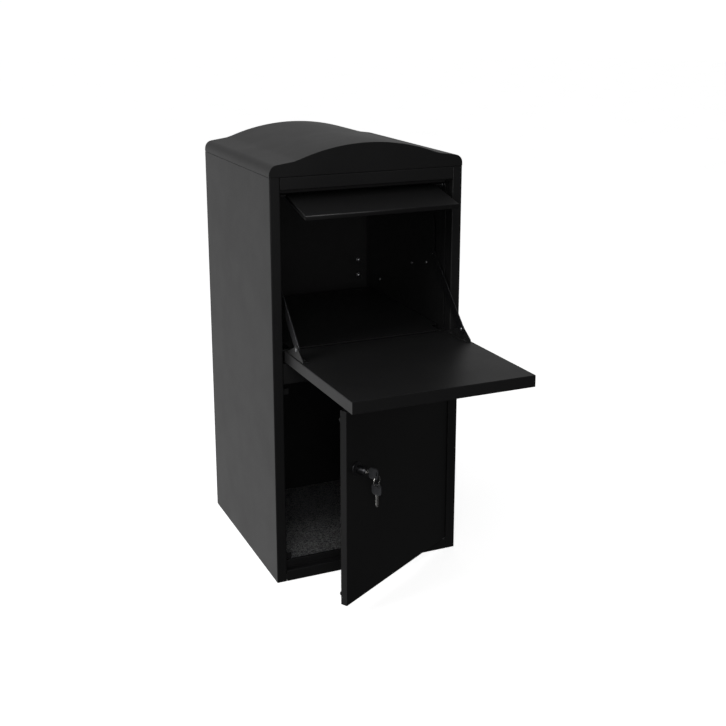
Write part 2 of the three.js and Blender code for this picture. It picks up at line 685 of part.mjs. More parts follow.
// ---------------------------------------------------------------- collection door (rests ajar)
const door = new THREE.Group();
door.position.set(DOOR_AXIS_X, DOOR_AXIS_Y, 0);
door.rotation.z = DOOR_OPEN * DEG;
group.add(door);
const doorFace = -DOOR_SET;
const doorBack = doorFace + DOOR_THICK;
const innerFront = doorBack - SKIN;
const skinBack = innerFront - GAP;
const lockBore = (y0, y1) => rod(LOCK_BARREL + GAP, y0, y1, 'y').translate(LOCK_X, 0, LOCK_Z);
node(door, 'door_skin', cut(
  box(-DOOR_LENGTH, DOOR_EDGE, doorFace, skinBack, DOOR_BOTTOM, DOOR_TOP),
  box(-DOOR_LENGTH + SKIN, DOOR_EDGE - SKIN, doorFace + SKIN, skinBack + 5,
    DOOR_BOTTOM + SKIN, DOOR_TOP - SKIN),
  lockBore(doorFace - 5, doorFace + 5),
), blackPowder);
node(door, 'door_inner_panel', cut(
  box(-DOOR_LENGTH, DOOR_EDGE, innerFront, doorBack, DOOR_BOTTOM, DOOR_TOP),
  lockBore(innerFront - 5, doorBack + 5),
), blackPowder);

// Pivot pins with a thrust collar, below and above the hinge corner.
const doorPivot = (face, tip) => turned([
  [0, face], [4.8, face], [4.8, face + Math.sign(tip - face) * 2.1],
  [2.5, face + Math.sign(tip - face) * 2.1], [2.5, tip], [0, tip],
], 'z', 16);
node(door, 'door_pivot_pin_upper', doorPivot(DOOR_TOP + GAP, RAIL_BOTTOM + 8), zincSteel);
node(door, 'door_pivot_pin_lower',
  doorPivot(-DOOR_BOTTOM + GAP, -SILL_HEIGHT + 8).rotateX(Math.PI), zincSteel);

const bufferX = -DOOR_LENGTH + 7;
for (const [suffix, z] of heights) {
  const buffer = turned([[0, 0], [5, 0], [5, 4.4], [3.6, 6], [0, 6]], 'y', 16);
  node(door, `door_buffer_${suffix}`, buffer.translate(bufferX, doorBack + GAP, z), rubber);
}

// Lock: a round housing through the door with its flange outside and a nut inside.
const noseFace = doorFace - LOCK_NOSE;
const lockRear = CAM_Y - 1;
node(door, 'lock_body', turned([
  [PLUG_RADIUS + GAP, noseFace], [LOCK_RADIUS - 1.2, noseFace], [LOCK_RADIUS, noseFace + 1.2],
  [LOCK_RADIUS, doorFace - 3.6], [LOCK_FLANGE - 1.4, doorFace - 2.8],
  [LOCK_FLANGE, doorFace - 1.2], [LOCK_FLANGE, doorFace - GAP],
  [LOCK_BARREL, doorFace - GAP], [LOCK_BARREL, lockRear], [PLUG_RADIUS + GAP, lockRear],
  [PLUG_RADIUS + GAP, noseFace],
], 'y', 28).translate(LOCK_X, 0, LOCK_Z), darkNickel);
const hexNut = new THREE.Shape();
for (let i = 0; i < 6; i += 1) {
  const corner = [14 * Math.cos((i * Math.PI) / 3), 14 * Math.sin((i * Math.PI) / 3)];
  if (i === 0) hexNut.moveTo(...corner);
  else hexNut.lineTo(...corner);
}
hexNut.closePath();
hexNut.holes.push(roundHole(0, 0, LOCK_BARREL + GAP));
node(door, 'lock_nut', alongY(hexNut, doorBack + GAP, doorBack + 4.5, 12)
  .translate(LOCK_X, 0, LOCK_Z), zincSteel);

// ---------------------------------------------------------------- lock plug, cam and keys
const lock = new THREE.Group();
lock.position.set(LOCK_X, 0, LOCK_Z);
door.add(lock);
const plugRear = CAM_Y - GAP;
const keyway = box(-1.4, 1.4, noseFace - 5, noseFace + KEY_BLADE + 2,
  -KEY_BLADE_WIDTH / 2 - 0.4, KEY_BLADE_WIDTH / 2 + 0.4);
node(lock, 'lock_plug', cut(turned([
  [0, noseFace + 0.4], [PLUG_RADIUS, noseFace + 0.4], [PLUG_RADIUS, plugRear], [4, plugRear],
  [4, CAM_Y + 2.2], [2.1, CAM_Y + 2.2], [2.1, CAM_Y - 3], [0, CAM_Y - 3],
], 'y', 24), keyway), nickel);
const camShape = new THREE.Shape();
camShape.absarc(0, 0, 9, Math.PI * 0.9, Math.PI * 2.1, false);
camShape.lineTo(7, CAM_LENGTH - 5);
camShape.lineTo(4, CAM_LENGTH);
camShape.lineTo(-4, CAM_LENGTH);
camShape.lineTo(-7, CAM_LENGTH - 5);
camShape.closePath();
camShape.holes.push(roundHole(0, 0, 4 + GAP));
node(lock, 'lock_cam', alongY(camShape, CAM_Y, CAM_Y + 2, 8), zincSteel);
node(lock, 'cam_screw', turned([
  [0, CAM_Y - 2.4], [1.7, CAM_Y - 2.4], [1.7, CAM_Y + 2.5], [5.5, CAM_Y + 2.5],
  [5.5, CAM_Y + 4], [3.5, CAM_Y + 5], [0, CAM_Y + 5.2],
], 'y', 16), zincSteel);

// A key with its ring slot at the origin, blade towards +Y, flat in the YZ plane.
const BOW_REST = 3.9;
function keyBow() {
  const half = KEY_BOW / 2;
  const round = 7;
  const back = KEY_BOW - BOW_REST;
  const shape = new THREE.Shape();
  shape.absarc(-BOW_REST + round, -half + round, round, Math.PI, Math.PI * 1.5, false);
  shape.absarc(back - round, -half + round, round, Math.PI * 1.5, Math.PI * 2, false);
  shape.absarc(back - round, half - round, round, 0, Math.PI / 2, false);
  shape.absarc(-BOW_REST + round, half - round, round, Math.PI / 2, Math.PI, false);
  shape.closePath();
  const slot = new THREE.Path();
  const end = (KEY_SLOT - KEY_SLOT_WIDTH) / 2;
  slot.absarc(0, end, KEY_SLOT_WIDTH / 2, 0, Math.PI, false);
  slot.absarc(0, -end, KEY_SLOT_WIDTH / 2, Math.PI, Math.PI * 2, false);
  shape.holes.push(slot);
  return alongX(shape, -1.7, 1.7, 6);
}

const BITTING = [0, 1.4, 0.5, 1.9, 0.9];
function keyBlade() {
  const start = KEY_BOW - BOW_REST + GAP;
  const half = KEY_BLADE_WIDTH / 2;
  const pitch = 3.4;
  const points = [[start, -half], [start + KEY_BLADE - 3, -half], [start + KEY_BLADE, -0.6]];
  points.push([start + KEY_BLADE - 2.2, half - 1.2]);
  BITTING.forEach((depth, i) => {
    const y = start + KEY_BLADE - 4.2 - i * pitch;
    points.push([y, half - depth], [y - pitch * 0.45, half - depth]);
  });
  points.push([start, half]);
  return alongX(outline(points), -1, 1);
}

const keySlide = new THREE.Group();
keySlide.position.set(0, doorFace - KEY_REACH, 0);
lock.add(keySlide);
node(keySlide, 'key_bow', keyBow(), blackPlastic);
node(keySlide, 'key_blade', keyBlade(), nickel);

const ring = new THREE.Group();
ring.position.set(0, 0, -RING_DROP);
keySlide.add(ring);
node(ring, 'split_ring', new THREE.TorusGeometry(RING_RADIUS, RING_WIRE, 8, 32)
  .rotateX(Math.PI / 2).translate(0, 0, -RING_RADIUS), nickel);

const spare = new THREE.Group();
spare.position.set(0, 0, -2 * RING_RADIUS);
spare.rotation.x = -Math.PI / 2;
ring.add(spare);
node(spare, 'spare_key_bow', keyBow(), blackPlastic);
node(spare, 'spare_key_blade', keyBlade(), nickel);

export default group;
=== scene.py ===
import json
import math
import random

import bmesh
import bpy
from mathutils import Matrix, Vector


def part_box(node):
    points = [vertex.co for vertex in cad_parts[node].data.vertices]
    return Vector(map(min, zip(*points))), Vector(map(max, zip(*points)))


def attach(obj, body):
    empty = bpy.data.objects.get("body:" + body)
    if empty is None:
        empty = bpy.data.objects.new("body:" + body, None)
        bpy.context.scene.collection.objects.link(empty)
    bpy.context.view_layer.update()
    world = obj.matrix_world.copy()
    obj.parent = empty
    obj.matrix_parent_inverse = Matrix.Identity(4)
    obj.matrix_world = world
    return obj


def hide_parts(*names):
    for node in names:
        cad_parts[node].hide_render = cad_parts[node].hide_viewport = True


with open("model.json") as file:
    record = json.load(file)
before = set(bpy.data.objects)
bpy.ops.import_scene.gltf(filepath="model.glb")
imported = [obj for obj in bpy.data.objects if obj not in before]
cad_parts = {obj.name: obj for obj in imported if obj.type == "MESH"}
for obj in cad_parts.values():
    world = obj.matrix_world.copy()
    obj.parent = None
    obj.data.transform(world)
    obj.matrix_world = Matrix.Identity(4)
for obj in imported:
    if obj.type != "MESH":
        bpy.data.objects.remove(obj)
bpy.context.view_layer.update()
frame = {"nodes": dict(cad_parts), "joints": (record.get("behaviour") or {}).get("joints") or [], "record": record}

# The camera, the stage, the lights and every place from the frame are in metres. The sizes of
# pieces are in millimetres, which MM turns into metres.
MM = 0.001
SEED = 20
UP = Vector((0, 0, 1))
JOINTS = {joint["name"]: joint for joint in frame["joints"]}


# ---------------------------------------------------------------- camera
CAMERA_PLACE = (-1.0317, -2.5518, 1.3254)
CAMERA_TURN = 23.75
CAMERA_DIP = 15.0
CAMERA_LENS = 57.3
CAMERA_SHIFT = -0.08
SENSOR_WIDTH = 36
NEAR_CLIP = 0.05
FAR_CLIP = 100


def add_camera():
    data = bpy.data.cameras.new("camera")
    data.sensor_width = SENSOR_WIDTH
    data.lens = CAMERA_LENS
    data.shift_y = CAMERA_SHIFT
    data.clip_start = NEAR_CLIP
    data.clip_end = FAR_CLIP
    camera = bpy.data.objects.new("camera", data)
    camera.location = CAMERA_PLACE
    camera.rotation_euler = (math.radians(90 - CAMERA_DIP), 0, math.radians(-CAMERA_TURN))
    bpy.context.scene.collection.objects.link(camera)
    bpy.context.scene.camera = camera


# ---------------------------------------------------------------- node helpers
# Most noise lies between these two values.
NOISE_LOW = 0.3
NOISE_HIGH = 0.7
# How much an edge's rounded normal must turn from the flat one to count as an edge.
EDGE_STARTS = 0.98
EDGE_FULL = 0.8
EDGE_SAMPLES = 4


class Nodes:
    """A node tree, with short calls for the nodes used here."""

    def __init__(self, tree, coordinate):
        self.tree = tree
        self.where = self.add("ShaderNodeTexCoord").outputs[coordinate]

    def put(self, slot, value):
        """Links a slot to another node's output, or sets it to a number, vector or colour."""
        if isinstance(value, bpy.types.NodeSocket):
            self.tree.links.new(value, slot)
        elif slot.type == "RGBA":
            slot.default_value = (*value, 1)
        else:
            slot.default_value = value

    def add(self, kind, inputs=None, **settings):
        node = self.tree.nodes.new(kind)
        for name, value in settings.items():
            setattr(node, name, value)
        for name, value in (inputs or {}).items():
            self.put(node.inputs[name], value)
        return node

    def remap(self, value, low, high, new_low, new_high, curve="LINEAR"):
        limits = {"Value": value, "From Min": low, "From Max": high, "To Min": new_low, "To Max": new_high}
        node = self.add("ShaderNodeMapRange", limits, clamp=True, interpolation_type=curve)
        return node.outputs["Result"]

    def dot(self, first, second):
        node = self.add("ShaderNodeVectorMath", {0: first, 1: second}, operation="DOT_PRODUCT")
        return node.outputs["Value"]

    def math(self, operation, first, second):
        return self.add("ShaderNodeMath", {0: first, 1: second}, operation=operation).outputs[0]

    def blend(self, share, first, second):
        node = self.add("ShaderNodeMix", data_type="RGBA")
        self.put(node.inputs["Factor"], share)
        colors = [slot for slot in node.inputs if slot.type == "RGBA"]
        for slot, color in zip(colors, (first, second)):
            self.put(slot, color)
        return [slot for slot in node.outputs if slot.type == "RGBA"][0]


class Shader(Nodes):
    """One material, with short calls for its surface texture. Scales are per metre."""

    def __init__(self, name):
        self.material = bpy.data.materials.new(name)
        self.material.use_nodes = True
        super().__init__(self.material.node_tree, "Object")
        self.surface = self.tree.nodes["Principled BSDF"]

    def noise(self, scale, detail=2.0, roughness=0.5, where=None):
        node = self.add("ShaderNodeTexNoise", {"Scale": scale, "Detail": detail, "Roughness": roughness})
        self.put(node.inputs["Vector"], self.where if where is None else where)
        return node.outputs["Fac"]

    def stretched(self, scale):
        return self.add("ShaderNodeMapping", {"Scale": scale, "Vector": self.where}).outputs["Vector"]

    def cells(self, scale, output):
        return self.add("ShaderNodeTexVoronoi", {"Scale": scale, "Vector": self.where}).outputs[output]

    def spread(self, noise, low, high):
        """A noise stretched so that it runs from low to high."""
        return self.remap(noise, NOISE_LOW, NOISE_HIGH, low, high)

    def bump(self, height, depth, strength, under=None):
        """Raises the surface by a depth in millimetres, on top of another bump if one is given."""
        inputs = {"Strength": strength, "Distance": depth * MM, "Height": height}
        if under is not None:
            inputs["Normal"] = under
        return self.add("ShaderNodeBump", inputs).outputs["Normal"]

    def edges(self, radius):
        """1 on edges sharper than a radius in millimetres, 0 on flats."""
        rounded = self.add("ShaderNodeBevel", {"Radius": radius * MM}, samples=EDGE_SAMPLES)
        flat = self.add("ShaderNodeNewGeometry").outputs["Normal"]
        return self.remap(self.dot(rounded.outputs["Normal"], flat), EDGE_STARTS, EDGE_FULL, 0, 1)

    def finish(self, color, roughness, normal=None, **numbers):
        self.put(self.surface.inputs["Base Color"], color)
        self.put(self.surface.inputs["Roughness"], roughness)
        if normal is not None:
            self.put(self.surface.inputs["Normal"], normal)
        for name, number in numbers.items():
            self.surface.inputs[name.replace("_", " ")].default_value = number
        return self.material


# ---------------------------------------------------------------- materials
def powder_coat():
    """Orange peel over a faint cloudiness, with duller handled patches and worn edges."""
    s = Shader("black_powder_coat")
    deep, faded, bare = (0.0135, 0.0135, 0.014), (0.0175, 0.0175, 0.018), (0.06, 0.06, 0.062)
    wear = s.math("MULTIPLY", s.edges(1.2), s.remap(s.noise(60, 4), 0.42, 0.62, 0, 1))
    color = s.blend(s.spread(s.noise(5, 4, 0.6), 0, 1), deep, faded)
    color = s.blend(s.math("MULTIPLY", wear, 0.5), color, bare)
    handled = s.remap(s.noise(11, 3, 0.55), 0.35, 0.7, 0, 0.035)
    roughness = s.math("ADD", s.spread(s.noise(700), 0.36, 0.42), handled)
    peel = s.bump(s.noise(420, 2.5, 0.55), 0.06, 0.45)
    return s.finish(color, roughness, s.bump(s.noise(1500), 0.02, 0.35, peel), IOR=1.5)


def zinc():
    s = Shader("zinc_plated_steel")
    dull, clean = (0.36, 0.37, 0.39), (0.52, 0.52, 0.53)
    color = s.blend(s.spread(s.noise(160, 4), 0, 1), dull, clean)
    roughness = s.spread(s.noise(500, 3), 0.24, 0.42)
    return s.finish(color, roughness, s.bump(s.noise(900), 0.03, 0.4), Metallic=1.0)


def bright_nickel():
    """Polished metal with fine scratches that run level."""
    s = Shader("bright_nickel")
    dull, clean = (0.66, 0.65, 0.63), (0.78, 0.77, 0.75)
    color = s.blend(s.spread(s.noise(240, 3), 0, 1), dull, clean)
    scratches = s.noise(300, where=s.stretched((1, 1, 14)))
    roughness = s.spread(scratches, 0.14, 0.32)
    return s.finish(color, roughness, s.bump(scratches, 0.02, 0.5), Metallic=1.0)


def dark_nickel():
    """Smoky plating, rubbed lighter on its edges."""
    s = Shader("dark_nickel")
    deep, soft, rubbed = (0.05, 0.05, 0.055), (0.08, 0.08, 0.085), (0.3, 0.3, 0.31)
    plating = s.blend(s.spread(s.noise(180, 3), 0, 1), deep, soft)
    color = s.blend(s.math("MULTIPLY", s.edges(0.6), 0.6), plating, rubbed)
    roughness = s.spread(s.noise(600), 0.26, 0.4)
    return s.finish(color, roughness, s.bump(s.noise(800), 0.02, 0.4), Metallic=0.85)


def key_plastic():
    s = Shader("key_plastic")
    deep, faded = (0.03, 0.031, 0.034), (0.042, 0.043, 0.047)
    color = s.blend(s.remap(s.noise(300, 3), 0.35, 0.65, 0, 1), deep, faded)
    roughness = s.spread(s.noise(900), 0.36, 0.5)
    return s.finish(color, roughness, s.bump(s.noise(2600), 0.02, 0.5))


def rubber():
    s = Shader("buffer_rubber")
    deep, dust_and_painted_light = (0.011, 0.011, 0.011), (0.02, 0.02, 0.02)
    color = s.blend(s.remap(s.noise(400, 3), 0.35, 0.65, 0, 1), deep, dust_and_painted_light)
    roughness = s.spread(s.noise(1200), 0.7, 0.9)
    return s.finish(color, roughness, s.bump(s.noise(1800), 0.03, 0.6))


GRAINS = 460
# Along the cabinet's depth, in metres: where the painted light near the door is strongest, and where it ends.
PAINTED_LIGHT_FULL = -0.21
PAINTED_LIGHT_END = 0.05


def granular_mat():
    """Pressed crumb of mixed greys, with painted light that makes it much paler toward the door."""
    s = Shader("granular_mat")
    crumb = s.add("ShaderNodeSeparateColor", {"Color": s.cells(GRAINS, "Color")}).outputs["Red"]
    speckle = s.remap(crumb, 0.2, 1, 0, 1)
    clean = s.blend(speckle, (0.035, 0.035, 0.037), (0.2, 0.2, 0.21))
    # Painted light: the crumb is painted far paler near the door, where light falls in under the flap.
    dust_and_painted_light = s.blend(speckle, (0.15, 0.15, 0.155), (0.85, 0.855, 0.86))
    depth = s.add("ShaderNodeSeparateXYZ", {"Vector": s.where}).outputs["Y"]
    color = s.blend(s.remap(depth, PAINTED_LIGHT_FULL, PAINTED_LIGHT_END, 1, 0), clean, dust_and_painted_light)
    roughness = s.spread(s.noise(200, 3), 0.75, 0.95)
    return s.finish(color, roughness, s.bump(s.cells(GRAINS, "Distance"), -0.8, 0.9))


MATERIALS = {
    "black_powder_coat": powder_coat(),
    "zinc_plated_steel": zinc(),
    "bright_nickel": bright_nickel(),
    "dark_nickel": dark_nickel(),
    "key_plastic": key_plastic(),
    "buffer_rubber": rubber(),
    "granular_mat": granular_mat(),
}


def give(piece, slot):
    piece.data.materials.clear()
    piece.data.materials.append(MATERIALS[slot])


# ---------------------------------------------------------------- finish of the CAD nodes
WELD_REACH = 0.02
FLAT_ANGLE = 0.4
SHEET_EDGE_ANGLE = 35
PIECE_EDGE_ANGLE = 38
# The bevel, in millimetres, on the sharp edges of each CAD node that shows them.
SOFT_EDGES = {
    "side_panel_left": 0.3, "side_panel_right": 0.3, "back_panel": 0.5, "floor_pan": 0.4,
    "door_sill": 0.25, "cross_rail": 0.3, "fascia": 0.3, "header_strip": 0.3,
    "ceiling_plate": 0.3, "roof_front_plate": 0.6, "roof_rear_plate": 0.6, "roof_skin": 0.3,
    "side_liner_left": 0.3, "side_liner_right": 0.3, "door_stop_tab_lower": 0.3,
    "door_stop_tab_upper": 0.3, "flap_outer_pan": 0.5, "flap_inner_panel": 0.5,
    "stay_bracket_left": 0.5, "stay_bracket_right": 0.5, "stay_arm_left": 0.5,
    "stay_arm_right": 0.5, "tray_plate": 0.5, "door_skin": 0.45, "door_inner_panel": 0.45,
    "lock_nut": 0.4, "lock_cam": 0.4,
}


def weld_group():
    """Joins the split corners of a CAD mesh and drops its stored normals."""
    group = bpy.data.node_groups.new("weld", "GeometryNodeTree")
    group.is_modifier = True
    for way in ("INPUT", "OUTPUT"):
        group.interface.new_socket("Geometry", in_out=way, socket_type="NodeSocketGeometry")
    bare = group.nodes.new("GeometryNodeRemoveAttribute")
    bare.inputs["Name"].default_value = "custom_normal"
    merged = group.nodes.new("GeometryNodeMergeByDistance")
    merged.inputs["Distance"].default_value = WELD_REACH * MM
    smooth = group.nodes.new("GeometryNodeSetShadeSmooth")
    smooth.inputs["Shade Smooth"].default_value = True
    source = group.nodes.new("NodeGroupInput").outputs[0]
    for node in (bare, merged, smooth):
        group.links.new(source, node.inputs["Geometry"])
        source = node.outputs["Geometry"]
    group.links.new(source, group.nodes.new("NodeGroupOutput").inputs[0])
    return group


WELD = weld_group()


def soften(piece, width, segments, angle):
    """A bevel, in millimetres, on the edges that turn more than an angle in degrees."""
    bevel = piece.modifiers.new("soft_edges", "BEVEL")
    bevel.width = width * MM
    bevel.segments = segments
    bevel.limit_method = "ANGLE"
    bevel.angle_limit = math.radians(angle)
    return bevel


def dress_node(name, node, slot):
    give(node, slot)
    node.modifiers.new("weld", "NODES").node_group = WELD
    flat = node.modifiers.new("flatten", "DECIMATE")
    flat.decimate_type = "DISSOLVE"
    flat.angle_limit = math.radians(FLAT_ANGLE)
    if name in SOFT_EDGES:
        soften(node, SOFT_EDGES[name], 3, SHEET_EDGE_ANGLE)
    node.modifiers.new("normals", "WEIGHTED_NORMAL").weight = 100


def dress_nodes():
    for part in frame["record"]["subparts"]:
        dress_node(part["node"], frame["nodes"][part["node"]], part["material_slot"])


# ---------------------------------------------------------------- building of the small pieces
ROUND_STEPS = 40
# A plate's caps are the faces whose normals lie at least this far along its axis.
CAP_FACING = 0.9


def around(radius, steps=ROUND_STEPS):
    """The corners of a regular outline round the origin."""
    turns = [2 * math.pi * i / steps for i in range(steps)]
    return [(radius * math.cos(t), radius * math.sin(t)) for t in turns]


def dome(inner, outer, low, high, steps):
    """Points (radius, height) from a wall up a quarter round, which stop short of its top."""
    turns = [math.pi / 2 * i / steps for i in range(steps)]
    return [(inner + (outer - inner) * math.cos(t), low + (high - low) * math.sin(t)) for t in turns]


def lathe(build, profile, place, steps=ROUND_STEPS, closed=False):
    """Turns (radius, height) points about place's Z axis; a closed profile makes a ring."""
    rings = []
    for radius, height in profile:
        corners = around(radius, steps) if radius else [(0, 0)]
        rings.append([build.verts.new(place @ (Vector((u, v, height)) * MM)) for u, v in corners])
    following = rings[1:] + (rings[:1] if closed else [])
    for lower, upper in zip(rings, following):
        for i in range(steps):
            k = (i + 1) % steps
            corners = [
                lower[i % len(lower)], lower[k % len(lower)],
                upper[k % len(upper)], upper[i % len(upper)],
            ]
            build.faces.new(list(dict.fromkeys(corners)))


def loft(build, sections):
    """Skins a row of sections, which all have the same count of points, and closes both ends."""
    rings = [[build.verts.new(point) for point in section] for section in sections]
    for lower, upper in zip(rings, rings[1:]):
        for i in range(len(lower)):
            k = (i + 1) % len(lower)
            build.faces.new([lower[i], lower[k], upper[k], upper[i]])
    build.faces.new(rings[0])
    build.faces.new(rings[-1])


def plate(build, loops, low, high, place, panel=None):
    """A flat plate between two heights, with holes; panel sinks its faces inside a rim."""
    made = bmesh.new()
    edges = []
    for loop in loops:
        corners = [made.verts.new(Vector((u, v, low)) * MM) for u, v in loop]
        edges += [made.edges.new(pair) for pair in zip(corners, corners[1:] + corners[:1])]
    filled = bmesh.ops.triangle_fill(made, use_beauty=True, edges=edges, normal=(0, 0, -1))
    faces = [item for item in filled["geom"] if isinstance(item, bmesh.types.BMFace)]
    raised = bmesh.ops.extrude_face_region(made, geom=faces)["geom"]
    corners = [item for item in raised if isinstance(item, bmesh.types.BMVert)]
    bmesh.ops.translate(made, verts=corners, vec=(0, 0, (high - low) * MM))
    bmesh.ops.recalc_face_normals(made, faces=made.faces)
    if panel:
        rim, depth = panel
        for up in (1, -1):
            cap = [face for face in made.faces if face.normal.z * up > CAP_FACING]
            bmesh.ops.inset_region(
                made, faces=cap, thickness=rim * MM, depth=-depth * MM, use_boundary=True,
                use_even_offset=False)
    made.transform(place)
    whole = bpy.data.meshes.new("part")
    made.to_mesh(whole)
    made.free()
    build.from_mesh(whole)
    bpy.data.meshes.remove(whole)


def place_facing(point, facing):
    """A frame at a point whose Z axis is `facing`, with its X axis turned upward."""
    z = Vector(facing).normalized()
    x = (UP - UP.dot(z) * z).normalized()
    return Matrix.Translation(point) @ Matrix((x, z.cross(x), z)).transposed().to_4x4()


def middle(node):
    low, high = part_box(node)
    return (low + high) / 2


def add_piece(name, build, slot, body, replaced=(), soft=0.0):
    """Makes a finished piece that rides on a body and may stand for CAD nodes."""
    bmesh.ops.recalc_face_normals(build, faces=build.faces)
    if build.calc_volume(signed=True) < 0:
        bmesh.ops.reverse_faces(build, faces=build.faces)
    mesh = bpy.data.meshes.new(name)
    build.to_mesh(mesh)
    build.free()
    for face in mesh.polygons:
        face.use_smooth = True
    mesh.set_sharp_from_angle(angle=math.radians(PIECE_EDGE_ANGLE))
    piece = bpy.data.objects.new(name, mesh)
    bpy.context.scene.collection.objects.link(piece)
    give(piece, slot)
    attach(piece, body)
    if replaced:
        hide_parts(*replaced)
    if soft:
        soften(piece, soft, 2, PIECE_EDGE_ANGLE).harden_normals = True


# ---------------------------------------------------------------- fasteners
# A screw head's shape, as shares of its radius and of its height.
CROWN_RADIUS = 0.72
RECESS_REACH = 0.5
RECESS_WIDTH = 0.2
SCREW_EDGE = 0.2
CROWN_FOOT = 0.7
RECESS_FLOOR = 0.75
SCREW_STEPS = 32
# The soft edges, in millimetres, of screws and of turned parts.
SCREW_SOFT = 0.2
TURNED_SOFT = 0.12


def cross_recess(reach, width):
    """The outline of a cross-head recess: one arm's end and inner corner, turned to four sides."""
    points = []
    arm = [(reach, -width / 2), (reach, width / 2), (width / 2, width / 2)]
    for _ in range(4):
        points += arm
        arm = [(-v, u) for u, v in arm]
    return points


def pan_screw(build, place, radius=4.0, height=2.2):
    """A round head with a cross recess in its crown."""
    crown = radius * CROWN_RADIUS
    floor = height * RECESS_FLOOR
    side = dome(crown, radius, height * SCREW_EDGE, floor, 5)
    lathe(build, [(0, 0), (radius, 0), *side, (crown, floor), (0, floor)], place, SCREW_STEPS)
    recess = cross_recess(radius * RECESS_REACH, radius * RECESS_WIDTH)
    plate(build, [around(crown), recess], height * CROWN_FOOT, height, place)


BLIND_RIVET = [(0, 0), (3.3, 0), (3.3, 0.3), (2.8, 0.8), (1.9, 1.15), (1.1, 1.25), (1.0, 0.8), (0, 0.8)]
NUT_SIDES = [(0, 0), (7.3, 0), (7.3, 2.4), (6.6, 2.9), (0, 2.9)]
NUT_CAP = 5.6
NUT_CAP_FOOT = 2.6
NUT_CAP_WALL = 2.8
NUT_CAP_TOP = 6.2


def dome_nut(build, place):
    """A six-sided nut under a round cap."""
    lathe(build, NUT_SIDES, place, 6)
    cap = dome(0, NUT_CAP, NUT_CAP_WALL, NUT_CAP_TOP, 6)
    lathe(build, [(0, NUT_CAP_FOOT), (NUT_CAP, NUT_CAP_FOOT), *cap, (0, NUT_CAP_TOP)], place, 32)


def add_wall_nuts():
    for side in ("left", "right"):
        for level in ("lower", "upper"):
            name = f"wall_nut_{side}_{level}"
            node = f"wall_fixing_nut_{side}_{level}"
            foot = middle(node)
            foot.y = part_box(node)[1].y
            build = bmesh.new()
            dome_nut(build, place_facing(foot, (0, -1, 0)))
            add_piece(name, build, "zinc_plated_steel", "cabinet", (node,), TURNED_SOFT)


# Places (y, z) of the screws on each liner, in millimetres.
LINER_SCREWS = ((-118, 702), (-38, 684), (150, 880), (150, 600))


def add_liner_screws():
    for side, name in ((-1, "left"), (1, "right")):
        low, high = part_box(f"side_liner_{name}")
        face = low.x if side > 0 else high.x
        build = bmesh.new()
        for y, z in LINER_SCREWS:
            pan_screw(build, place_facing((face, y * MM, z * MM), (-side, 0, 0)))
        add_piece(f"liner_screws_{name}", build, "zinc_plated_steel", "cabinet", soft=SCREW_SOFT)


RIVETS_PER_SIDE = 7
RIVET_INSET = 8
RIVET_END = 60


def add_back_rivets():
    """A row of blind rivets down each edge of the back panel."""
    low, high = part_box("back_panel")
    lowest = low.z + RIVET_END * MM
    step = (high.z - low.z - 2 * RIVET_END * MM) / (RIVETS_PER_SIDE - 1)
    build = bmesh.new()
    for x in (low.x + RIVET_INSET * MM, high.x - RIVET_INSET * MM):
        for i in range(RIVETS_PER_SIDE):
            lathe(build, BLIND_RIVET, place_facing((x, high.y, lowest + i * step), (0, 1, 0)), 24)
    add_piece("back_rivets", build, "black_powder_coat", "cabinet")


# The open flap's front edge rises by this many degrees.
FLAP_TILT = 0.7
# Places of the screws on each bracket's foot, in the flap's own tilted frame.
FOOT_TOP = 30.8
FOOT_SCREWS = (-34, -98)
FOOT_SCREW_INSET = 5.5


def add_bracket_screws():
    tilt = Matrix.Rotation(-math.radians(FLAP_TILT), 4, "X")
    flap = Matrix.Translation(JOINTS["flap_hinge"]["pos_m"]) @ tilt
    for side, node in ((-1, "stay_bracket_left"), (1, "stay_bracket_right")):
        low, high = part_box(node)
        inner = high.x if side < 0 else low.x
        x = inner + side * FOOT_SCREW_INSET * MM
        build = bmesh.new()
        for y in FOOT_SCREWS:
            place = flap @ Matrix.Translation((x, y * MM, FOOT_TOP * MM))
            pan_screw(build, place, radius=3.2, height=1.8)
        add_piece(f"{node}_screws", build, "black_powder_coat", "flap", soft=SCREW_SOFT)


# Outlines (radius, height) of the stay hardware, from its inner end outward.
RIVET_HEAD = [(0, 0), (1.6, 0.05), (2.8, 0.3), (3.8, 0.75), (4.5, 1.4), (4.6, 1.8), (2.7, 1.8)]
RIVET_TAIL = [(2.7, 6.9), (4.6, 6.9), (4.5, 7.5), (3.6, 8.1), (2.0, 8.4), (0, 8.45)]
PIN_TAIL = [(2.7, 4.4), (4.8, 4.4), (4.8, 8.0), (3.0, 8.0), (3.0, 11.3), (5.6, 11.3), (5.6, 12.4), (0, 12.9)]
COLLAR = [(4.3, 0.2), (4.5, 0), (6.7, 0), (7, 0.3), (7, 3.2), (6.7, 3.5), (4.5, 3.5), (4.3, 3.3)]


def add_turned(name, node, profile, slot, body, closed=False):
    """A turned piece along X that starts at its CAD node's inner end."""
    low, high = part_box(node)
    side = -1 if node.endswith("left") else 1
    start = middle(node)
    start.x = low.x if side > 0 else high.x
    build = bmesh.new()
    lathe(build, profile, place_facing(start, (side, 0, 0)), closed=closed)
    add_piece(name, build, slot, body, (node,), TURNED_SOFT)


def add_stay_hardware():
    for side in ("left", "right"):
        add_turned(f"stay_rivet_turned_{side}", f"stay_rivet_{side}", RIVET_HEAD + RIVET_TAIL,
                   "zinc_plated_steel", "flap")
        add_turned(f"stay_pin_turned_{side}", f"stay_pin_{side}", RIVET_HEAD + PIN_TAIL,
                   "dark_nickel", f"stay_{side}")
        add_turned(f"visor_collar_turned_{side}", f"visor_collar_{side}", COLLAR,
                   "zinc_plated_steel", "visor", closed=True)


ROD_CHAMFER = 0.5
ROD_STEPS = 32


